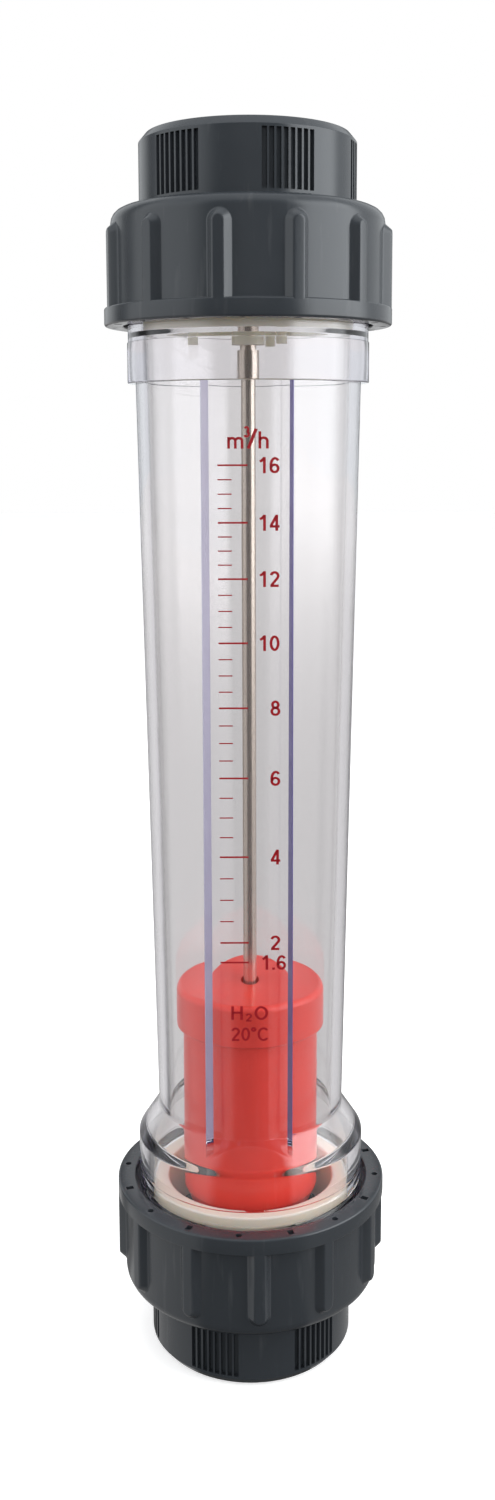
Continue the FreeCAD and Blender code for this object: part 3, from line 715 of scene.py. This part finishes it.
def tube_mesh():
    """The tube's closed skin, outside from foot to top and back down the bore."""
    lower_thread_top = FOOT + THREAD_LENGTH
    upper_thread_foot = TOP - THREAD_LENGTH
    # Small steps of height and radius keep the rings apart where a thread runs out.
    rings = [outer_ring(FOOT, THREAD_ROOT - THREAD_END_CHAMFER, False)]
    rings += thread_rings(FOOT + 0.5, lower_thread_top - PLAIN_NECK - 0.6)
    rings.append(outer_ring(lower_thread_top - PLAIN_NECK - 0.5, THREAD_ROOT, False))
    shoulder = rounded_path([
        (THREAD_ROOT, lower_thread_top - PLAIN_NECK - 0.4),
        (LOWER_NECK_RADIUS, lower_thread_top - PLAIN_NECK + 0.8, 0.3),
        (LOWER_NECK_RADIUS, lower_thread_top, 0.1),
        (LOWER_COLLAR_RADIUS, lower_thread_top, 0.5), (LOWER_COLLAR_RADIUS, COLLAR_TOP, 2.0),
        (TAPER_LOW, TAPER_FOOT, 2.0), (TAPER_LOW + 0.1, TAPER_FOOT + 5)],
        closed=False, arc_steps=6)
    previous = None
    for radius, z in shoulder:
        if previous is not None and z - previous[1] > 1.0:
            for part in np.linspace(0, 1, int((z - previous[1]) / 0.5) + 1)[1:-1]:
                middle = previous + (np.array([radius, z]) - previous) * part
                rings.append(outer_ring(middle[1], middle[0], middle[1] > COLLAR_TOP))
        rings.append(outer_ring(z, radius, z > COLLAR_TOP))
        previous = np.array([radius, z])
    rings.append(outer_ring(TAPER_FOOT + 5.5, TAPER_LOW + 0.11, True))
    for share in np.linspace(0, 1, 26)[1:]:
        z = TAPER_FOOT + 5 + (TAPER_HEAD - TAPER_FOOT - 5) * share
        rings.append(outer_ring(z, taper_radius(z), True))
    collar = rounded_path([
        (TAPER_HIGH, TAPER_HEAD), (UPPER_COLLAR_RADIUS, TAPER_HEAD, 0.5),
        (UPPER_COLLAR_RADIUS, upper_thread_foot, 0.25), (UPPER_NECK_RADIUS, upper_thread_foot),
        (UPPER_NECK_RADIUS, upper_thread_foot + PLAIN_NECK, 0.3),
        (THREAD_ROOT, upper_thread_foot + PLAIN_NECK + 1.2)], closed=False)
    rings += [outer_ring(z, radius, False) for radius, z in collar[1:]]
    rings += thread_rings(upper_thread_foot + PLAIN_NECK + 1.4, TOP - 0.5)
    rings.append(outer_ring(TOP, THREAD_ROOT - THREAD_END_CHAMFER, False))
    slope = math.hypot(LOWER_COLLAR_RADIUS - TAPER_LOW, SHOULDER_HEIGHT)
    drop = TUBE_WALL * (LOWER_COLLAR_RADIUS - TAPER_LOW) / slope
    inward = TUBE_WALL * SHOULDER_HEIGHT / slope
    steepness = SHOULDER_HEIGHT / (LOWER_COLLAR_RADIUS - TAPER_LOW)
    low_bore = TAPER_LOW - TUBE_WALL
    flare_low = COLLAR_TOP - drop + (LOWER_COLLAR_RADIUS - inward - SEAT_RADIUS) * steepness
    flare_high = TAPER_FOOT - drop + (TAPER_LOW - inward - low_bore) * steepness
    high_bore = TAPER_HIGH - TUBE_WALL + 0.3
    inside = rounded_path([
        (SEAT_RADIUS, TOP), (SEAT_RADIUS, UPPER_SEAT, 0.3),
        (high_bore, UPPER_SEAT - SEAT_CONE_HEIGHT, 0.3), (low_bore, flare_high, 2.0),
        (SEAT_RADIUS, flare_low, 2.0), (SEAT_RADIUS, FOOT)], closed=False)
    # The bore is round, so its points take their angles from a ring of the lower thread.
    thread_ring = rings[40]
    angles = np.arctan2(thread_ring[:, 1], thread_ring[:, 0])
    rings += [ring_points(radius, angles, z)
              for radius, z in with_steps(inside, BORE_STEP, BORE_MARGIN)]
    return closed_mesh("clear_tube", rings)


def shader_mix(tree, factor, first, second):
    """Output of two shaders mixed."""
    return add_node(tree, "ShaderNodeMixShader", {0: factor, 1: first, 2: second}).outputs[0]


def clear_plastic(name):
    """Clear plastic, faintly wavy and scuffed, that lets shadow and bounce light through."""
    material, tree, shader = new_material(name)
    grain = add_node(tree, "ShaderNodeGroup", {"Mottle Scale": 45.0, "Scuff Scale": 420.0},
                     node_tree=GRAIN).outputs
    wave = add_node(tree, "ShaderNodeBump", {
        "Height": grain["Mottle"], "Strength": 0.10, "Distance": 0.0006})
    set_inputs(shader, {
        "Base Color": TUBE_CLEAR, "Transmission Weight": 1.0, "IOR": TUBE_IOR,
        "Roughness": ranged(tree, grain["Scuff"], (0, 1), (0, TUBE_HAZE)),
        "Normal": wave.outputs[0]})
    through = add_node(tree, "ShaderNodeBsdfTransparent", {"Color": TUBE_SHADOW}).outputs[0]
    path = add_node(tree, "ShaderNodeLightPath").outputs
    either = maths(tree, "MAXIMUM", path["Is Shadow Ray"], path["Is Diffuse Ray"])
    body_tint = add_node(tree, "ShaderNodeVolumeAbsorption", {
        "Color": TUBE_TINT, "Density": TUBE_TINT_DENSITY})
    set_inputs(tree.nodes["Material Output"], {
        "Surface": shader_mix(tree, either, shader.outputs[0], through),
        "Volume": body_tint.outputs[0]})
    return material


def painted_reflection_edge(name, low_colour, high_colour):
    """A side wall of the panel: the plastic's lilac with painted reflection, paler towards the
    top of the tube.
    """
    material = moulded_plastic(name, low_colour, EDGE_ROUGHNESS, scuffs=0.3)
    tree = material.node_tree
    place = add_node(tree, "ShaderNodeTexCoord").outputs["Object"]
    axes = add_node(tree, "ShaderNodeSeparateXYZ", {0: place}).outputs
    # Painted reflection: the wall's colour runs from its low to its high shade up the tube.
    height = ranged(tree, axes["Z"], (TAPER_FOOT * MM, TAPER_HEAD * MM), (0, 1))
    set_inputs(tree.nodes["Principled BSDF"], {
        "Base Color": mixed(tree, height, low_colour, high_colour, "RGBA"),
        "Transmission Weight": 0.3, "IOR": TUBE_IOR})
    return material


tube = new_piece("clear_tube", tube_mesh())
for finish in (clear_plastic("clear_tube"),
               painted_reflection_edge("pale_painted_reflection_edge", PAINTED_PALE_REFLECTION_LOW, PAINTED_PALE_REFLECTION_HIGH),
               painted_reflection_edge("deep_painted_reflection_edge", PAINTED_DEEP_REFLECTION_LOW, PAINTED_DEEP_REFLECTION_HIGH)):
    tube.data.materials.append(finish)
smooth_with_edges(tube.data)
# Faces of the panel that look sideways: the left ones take the pale painted reflection, the right
# the deep painted reflection.
for face in tube.data.polygons:
    x, y, z = face.center / MM
    in_front = TAPER_FOOT < z < TAPER_HEAD and abs(x) < EDGE_REACH and y < 0
    if in_front and abs(face.normal.x) > EDGE_TURN and math.hypot(x, y) > taper_radius(z) + 0.05:
        face.material_index = 1 if x < 0 else 2
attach(tube, "tube")
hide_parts("flow_tube")

# ==== Printed scale ========================================================================
# Dark red ink on the panel's flat face: long graduations with numerals, three short ones
# between each pair, the unit above and the water note below.
INK = (0.32, 0.004, 0.010, 1)
INK_PROUD = 0.02
INK_THICKNESS = 0.04
GRADUATIONS = [("16", 343.5), ("14", 323.9), ("12", 304.5), ("10", 282.1), ("8", 259.1),
               ("6", 233.9), ("4", 205.1), ("2", 173.2), ("1.6", 165.8)]
SHORT_TICKS = 3
TICK_LEFT = -10.6
LONG_TICK = 10.2
SHORT_TICK = 4.8
NUMERAL_HEIGHT = 5.5
NUMERAL_WEIGHT = 0.85
TICK_THICKNESS = 0.62
SHORT_TICK_SHARE = 0.68

ink = moulded_plastic("printed_ink", INK, roughness=0.35, colour_change=0.05, bump=0.02,
                      scuffs=0.0)
lean_angle = math.atan(PANEL_LEAN)


def on_panel(x, z):
    """Matrix from a flat XY drawing in metres to the panel's face at x, z (millimetres)."""
    place = Vector((x, -(panel_face(z) + INK_PROUD), z)) * MM
    return Matrix.Translation(place) @ Matrix.Rotation(math.pi / 2 + lean_angle, 4, "X")


def tick_tree():
    """Nodes that set a thin bar on each graduation point, by its length and weight."""
    tree, given = new_tree("scale ticks", {
        "Geometry": "Geometry", "Thickness": "Float", "Ink Height": "Float", "Lean": "Float",
        "Material": "Material"})
    length, weight = [
        add_node(tree, "GeometryNodeInputNamedAttribute", {"Name": label},
                 data_type="FLOAT").outputs["Attribute"] for label in ("length", "weight")]
    size = add_node(tree, "ShaderNodeCombineXYZ", {
        "X": length, "Y": given["Ink Height"],
        "Z": maths(tree, "MULTIPLY", weight, given["Thickness"])})
    turn = add_node(tree, "ShaderNodeCombineXYZ", {"X": given["Lean"]})
    bar = add_node(tree, "GeometryNodeMeshCube", {"Size": (1, 1, 1)})
    bars = add_node(tree, "GeometryNodeInstanceOnPoints", {
        "Points": given["Geometry"], "Instance": bar.outputs["Mesh"],
        "Scale": size.outputs[0], "Rotation": turn.outputs[0]})
    return end_tree(tree, bars.outputs[0], given["Material"])


def make_ticks():
    """The graduation lines as one piece."""
    marks = [(z, LONG_TICK, 1.0) for _, z in GRADUATIONS]
    mains = [z for _, z in GRADUATIONS[:-1]]
    for above, below in zip(mains, mains[1:]):
        for step in range(1, SHORT_TICKS + 1):
            z = above + (below - above) * step / (SHORT_TICKS + 1)
            marks.append((z, SHORT_TICK, SHORT_TICK_SHARE))
    mesh = bpy.data.meshes.new("scale_ticks")
    mesh.from_pydata([((TICK_LEFT + length / 2) * MM, -(panel_face(z) + INK_PROUD) * MM, z * MM)
                      for z, length, _ in marks], [], [])
    lengths = [length * MM for _, length, _ in marks]
    for label, values in (("length", lengths), ("weight", [share for _, _, share in marks])):
        attribute = mesh.attributes.new(label, "FLOAT", "POINT")
        attribute.data.foreach_set("value", values)
    piece = new_piece("scale_ticks", mesh)
    add_tree(piece, "ticks", tick_tree(), {
        "Thickness": TICK_THICKNESS * MM, "Ink Height": INK_THICKNESS * MM, "Lean": lean_angle,
        "Material": ink})
    set_by_nodes(piece, [])
    return piece


def bow(x, y, across, upward, start, stop, steps=16):
    """Points along part of an ellipse, angles in degrees."""
    angles = np.radians(np.linspace(start, stop, steps))
    return [(x + across * math.cos(a), y + upward * math.sin(a)) for a in angles]


# Centre lines of each character in a box one unit high: (width, strokes).
STROKES = {
    "0": (0.58, [bow(0.29, 0.5, 0.20, 0.42, 0, 360, 29)]),
    "1": (0.58, [[(0.10, 0.72), (0.22, 0.79), (0.33, 0.93)], [(0.35, 0), (0.35, 1)]]),
    "2": (0.58, [bow(0.285, 0.70, 0.195, 0.22, 168, -38) + [(0.11, 0.10)],
                 [(0.05, 0.075), (0.51, 0.075)]]),
    "3": (0.58, [bow(0.27, 0.71, 0.17, 0.21, 150, -80), bow(0.27, 0.29, 0.20, 0.215, 80, -155)]),
    "4": (0.58, [[(0.07, 0.28), (0.37, 0.93)], [(0.395, 0), (0.395, 1)],
                 [(0.02, 0.27), (0.55, 0.27)]]),
    "6": (0.58, [bow(0.29, 0.30, 0.20, 0.225, 0, 360, 25),
                 [(0.09, 0.32)] + bow(0.315, 0.50, 0.225, 0.42, 188, 42)]),
    "8": (0.58, [bow(0.29, 0.725, 0.165, 0.195, 0, 360, 23),
                 bow(0.29, 0.295, 0.205, 0.22, 0, 360, 25)]),
    ".": (0.24, [[(0.045, 0.075), (0.195, 0.075)]]),
    "m": (0.98, [[(0.08, 0), (0.08, 0.70)], bow(0.275, 0.46, 0.195, 0.17, 175, 0) + [(0.47, 0)],
                 bow(0.665, 0.46, 0.195, 0.17, 175, 0) + [(0.86, 0)]]),
    "/": (0.32, [[(0.02, 0), (0.30, 1)]]),
    "h": (0.58, [[(0.08, 0), (0.08, 1)], bow(0.28, 0.45, 0.20, 0.18, 175, 0) + [(0.48, 0)]]),
    "H": (0.72, [[(0.09, 0), (0.09, 1)], [(0.61, 0), (0.61, 1)], [(0.09, 0.53), (0.61, 0.53)]]),
    "O": (0.80, [bow(0.38, 0.5, 0.31, 0.43, 0, 360, 31)]),
    "C": (0.74, [bow(0.38, 0.5, 0.30, 0.43, 42, 318, 24)]),
    "\u00b0": (0.36, [bow(0.16, 0.85, 0.10, 0.10, 0, 360, 15)])}
LETTER_GAP = 0.04


def add_stroke(shell, line, weight):
    """A closed flat ribbon along a line of points, one ink layer thick."""
    line = np.array(line, float)
    ring = np.allclose(line[0], line[-1])
    if ring:
        line = line[:-1]
        ahead = np.roll(line, -1, 0) - line
        behind = line - np.roll(line, 1, 0)
    else:
        runs = np.diff(line, axis=0)
        ahead = np.vstack([runs, runs[-1:]])
        behind = np.vstack([runs[:1], runs])
    ahead /= np.linalg.norm(ahead, axis=1)[:, None]
    behind /= np.linalg.norm(behind, axis=1)[:, None]
    along = ahead + behind
    along /= np.linalg.norm(along, axis=1)[:, None]
    widen = 1 / np.maximum((along * ahead).sum(1), 0.6)
    side = np.stack([-along[:, 1], along[:, 0]], -1) * (widen * weight / 2)[:, None]
    rows = []
    for offset, level in ((side, 0.5), (side, -0.5), (-side, -0.5), (-side, 0.5)):
        rows.append([shell.verts.new((*point, level)) for point in line + offset])
    count = len(line)
    for i in range(count if ring else count - 1):
        j = (i + 1) % count
        for first, second in zip(rows, rows[1:] + rows[:1]):
            shell.faces.new((first[i], second[i], second[j], first[j]))
    if not ring:
        shell.faces.new([row[0] for row in rows[::-1]])
        shell.faces.new([row[-1] for row in rows])


def lettering(name, words):
    """Printed words as one mesh: each is (text, left, right, foot, height, line weight)."""
    joined = bmesh.new()
    for text, left, right, foot, height, weight in words:
        shell = bmesh.new()
        start = 0.0
        for letter in text:
            width, strokes = STROKES[letter]
            for line in strokes:
                add_stroke(shell, [(start + x, y) for x, y in line], weight / height)
            start += width + LETTER_GAP
        across = [v.co.x for v in shell.verts]
        size = Vector(((right - left) / (max(across) - min(across)), height, INK_THICKNESS)) * MM
        fit = Matrix.Diagonal((*size, 1))
        fit = fit @ Matrix.Translation((-(max(across) + min(across)) / 2, -0.5, 0))
        bmesh.ops.transform(shell, verts=shell.verts,
                            matrix=on_panel((left + right) / 2, foot + height / 2) @ fit)
        bmesh.ops.recalc_face_normals(shell, faces=shell.faces)
        word = as_mesh("word", shell)
        joined.from_mesh(word)
        bpy.data.meshes.remove(word)
    mesh = as_mesh(name, joined)
    mesh.materials.append(ink)
    return new_piece(name, mesh)


# Left and right edge of a numeral by its count of characters, then each printed word.
NUMERAL_EDGES = {1: (7.4, 10.9), 2: (3.6, 10.6), 3: (4.3, 13.0)}
NUMERALS = [(text, *NUMERAL_EDGES[len(text)], z - NUMERAL_HEIGHT / 2, NUMERAL_HEIGHT,
             NUMERAL_WEIGHT) for text, z in GRADUATIONS]
UNIT = [("m", -7.2, -1.7, 349.1, 5.6, 0.88), ("3", -1.7, 0.5, 352.9, 3.7, 0.72),
        ("/", -0.6, 3.2, 349.1, 6.7, 0.8), ("h", 3.4, 6.9, 349.1, 5.8, 0.88)]
NOTE = [("H", -6.8, -2.6, 144.0, 5.2, 0.8), ("2", -1.6, 0.7, 143.4, 3.0, 0.55),
        ("O", 1.6, 6.5, 144.0, 5.2, 0.8), ("20\u00b0C", -6.8, 6.5, 135.9, 5.2, 0.75)]
numerals = lettering("scale_numerals", NUMERALS)
unit = lettering("scale_unit", UNIT)
note = lettering("scale_note", NOTE)
for printed in (make_ticks(), numerals, unit, note):
    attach(printed, "tube")

# ==== Studio ===============================================================================
# White floor and surroundings. Glossy surfaces and the tube's inner reflections also see a
# dim room in front, a tall window each side and narrow black cards beside the backdrop.

# Brightness of the room by degrees from the front, positive to the right.
ROOM = [(-180, 0.95), (-174, 0.95), (-170, 0.15), (-165, 0.15), (-158, 0.92), (-135, 0.92),
        (-124, 0.20), (-114, 0.20), (-104, 1.25), (-50, 1.25), (-32, 0.10), (38, 0.10),
        (50, 3.8), (98, 3.8), (108, 0.92), (158, 0.92), (165, 0.15), (170, 0.15), (174, 0.95),
        (180, 0.95)]
ROOM_PEAK = 3.8
ROOM_TOP = 0.8
ROOM_BOUNCE = 0.55
FLOOR_BOUNCE = 0.45
FLOOR_NEAR_LEFT = 0.65
FLOOR_INSIDE = 0.85
FLOOR_NEAR_RIGHT = 0.30
FLOOR_THROUGH_NEAR = 0.80
FLOOR_THROUGH_FAR = 0.97
FLOOR_GLOW = 0.5
PAPER = (0.86, 0.86, 0.86, 1)
WINDOW_LIGHT = (0.94, 0.975, 1.0, 1)
ROOM_LIGHT = (0.97, 0.985, 1.0, 1)
WHITE = (1, 1, 1, 1)
# Metres from the object over which the floor changes, and the upward part of a direction
# over which the room gives way to its top.
FLOOR_FADE = (4.0, 0.6)
FLOOR_SIDES = (-0.12, 0.12)
FLOOR_BEYOND = (0.3, 3.0)
OVERHEAD = (0.55, 0.9)
OBJECT_MIDDLE = Vector((0, 0, 0.23))

floor_mesh = bpy.data.meshes.new("floor")
floor_mesh.from_pydata([(-6, -6, 0), (6, -6, 0), (6, 6, 0), (-6, 6, 0)], [], [(0, 1, 2, 3)])
floor = new_piece("floor", floor_mesh)


def ray_kinds(tree):
    """Masks of rays: from the camera or straight through, straight through alone, off a gloss,
    out of the clear plastic, and soft bounces."""
    rays = add_node(tree, "ShaderNodeLightPath").outputs
    glossy = maths(tree, "GREATER_THAN", rays["Glossy Depth"], 0.5)
    through = maths(tree, "SUBTRACT", rays["Is Transmission Ray"], glossy)
    direct = maths(tree, "MAXIMUM", rays["Is Camera Ray"], through)
    inside = maths(tree, "GREATER_THAN", rays["Transmission Depth"], 0.5)
    return direct, through, glossy, inside, rays["Is Diffuse Ray"]


def room_group():
    """Brightness of the room in the direction of a vector from the object's axis."""
    group = bpy.data.node_groups.new("room", "ShaderNodeTree")
    group.interface.new_socket("Vector", in_out="INPUT", socket_type="NodeSocketVector")
    group.interface.new_socket("Level", in_out="OUTPUT", socket_type="NodeSocketFloat")
    given = add_node(group, "NodeGroupInput").outputs
    axes = add_node(group, "ShaderNodeSeparateXYZ", {0: given[0]}).outputs
    azimuth = maths(group, "ARCTAN2", axes["X"], maths(group, "MULTIPLY", axes["Y"], -1.0))
    share = maths(group, "ADD", maths(group, "DIVIDE", azimuth, 2 * math.pi), 0.5)
    ramp = add_node(group, "ShaderNodeValToRGB", {"Fac": share})
    stops = ramp.color_ramp.elements
    while len(stops) < len(ROOM):
        stops.new(0.5)
    for stop, (degrees, brightness) in zip(stops, ROOM):
        stop.position = (degrees + 180) / 360
        stop.color = (*[brightness / ROOM_PEAK] * 3, 1)
    level = maths(group, "MULTIPLY", ramp.outputs["Color"], ROOM_PEAK)
    add_node(group, "NodeGroupOutput", {0: level})
    return group


ROOM_LEVEL = room_group()
paper, sheet, paper_shader = new_material("floor paper")
direct, through, glossy, inside, bounced = ray_kinds(sheet)
set_inputs(paper_shader, {
    "Base Color": PAPER, "Roughness": 0.9, "Emission Color": WHITE,
    "Emission Strength": maths(sheet, "MULTIPLY", direct, FLOOR_GLOW)})
place = add_node(sheet, "ShaderNodeTexCoord").outputs["Object"]
axes = add_node(sheet, "ShaderNodeSeparateXYZ", {0: place}).outputs
span = add_node(sheet, "ShaderNodeVectorMath", {0: place}, operation="LENGTH").outputs["Value"]
around = add_node(sheet, "ShaderNodeGroup", {0: place}, node_tree=ROOM_LEVEL).outputs[0]
near = ranged(sheet, span, FLOOR_FADE, (0, 1), "SMOOTHSTEP")
cap = ranged(sheet, axes["X"], FLOOR_SIDES, (FLOOR_NEAR_LEFT, FLOOR_NEAR_RIGHT))
limit = maths(sheet, "MAXIMUM", cap, maths(sheet, "MULTIPLY", inside, FLOOR_INSIDE))
faded = mixed(sheet, near, around, maths(sheet, "MINIMUM", around, limit))
level = mixed(sheet, bounced, faded, FLOOR_BOUNCE)
beyond = ranged(sheet, span, FLOOR_BEYOND, (FLOOR_THROUGH_NEAR, FLOOR_THROUGH_FAR))
room_floor = add_node(sheet, "ShaderNodeEmission", {
    "Strength": mixed(sheet, through, level, beyond)}).outputs[0]
indirect = maths(sheet, "MAXIMUM", maths(sheet, "MAXIMUM", glossy, bounced), through)
set_inputs(sheet.nodes["Material Output"], {
    "Surface": shader_mix(sheet, indirect, paper_shader.outputs[0], room_floor)})
floor.data.materials.append(paper)

world = bpy.data.worlds.new("studio")
scene.world = world
world.use_nodes = True
sky = world.node_tree
sky.nodes.clear()
direction = add_node(sky, "ShaderNodeTexCoord").outputs["Generated"]
axes = add_node(sky, "ShaderNodeSeparateXYZ", {0: direction}).outputs
around = add_node(sky, "ShaderNodeGroup", {0: direction}, node_tree=ROOM_LEVEL).outputs[0]
overhead = ranged(sky, axes["Z"], OVERHEAD, (0, 1), "SMOOTHSTEP")
mirror, plain, white = [
    add_node(sky, "ShaderNodeBackground", {"Color": colour, "Strength": strength}).outputs[0]
    for colour, strength in ((WINDOW_LIGHT, mixed(sky, overhead, around, ROOM_TOP)),
                             (ROOM_LIGHT, ROOM_BOUNCE), (WHITE, 1.0))]
direct, _, glossy, _, _ = ray_kinds(sky)
seen = shader_mix(sky, direct, shader_mix(sky, glossy, plain, mirror), white)
add_node(sky, "ShaderNodeOutputWorld", {"Surface": seen})

LAMPS = {"right window": ((1.45, -0.36, 0.75), (1.2, 1.5), 20.0),
         "left window": ((-1.45, -0.25, 0.75), (1.2, 1.4), 9.0),
         "ceiling": ((0.1, -0.2, 1.9), (1.4, 1.4), 18.0),
         "front fill": ((0.0, -1.7, 0.8), (1.0, 1.0), 8.0)}
for name, (spot, size, power) in LAMPS.items():
    lamp = bpy.data.lights.new(name, "AREA")
    lamp.shape = "RECTANGLE"
    lamp.size, lamp.size_y = size
    lamp.energy = power
    lamp_object = bpy.data.objects.new(name, lamp)
    scene.collection.objects.link(lamp_object)
    lamp_object.location = spot
    aim = OBJECT_MIDDLE - Vector(spot)
    lamp_object.rotation_euler = aim.to_track_quat("-Z", "Y").to_euler()
    lamp_object.visible_glossy = False
    lamp_object.visible_transmission = False
    lamp_object.visible_camera = False

scene.view_settings.view_transform = "Standard"
scene.cycles.max_bounces = 24
scene.cycles.glossy_bounces = 20
scene.cycles.transmission_bounces = 20
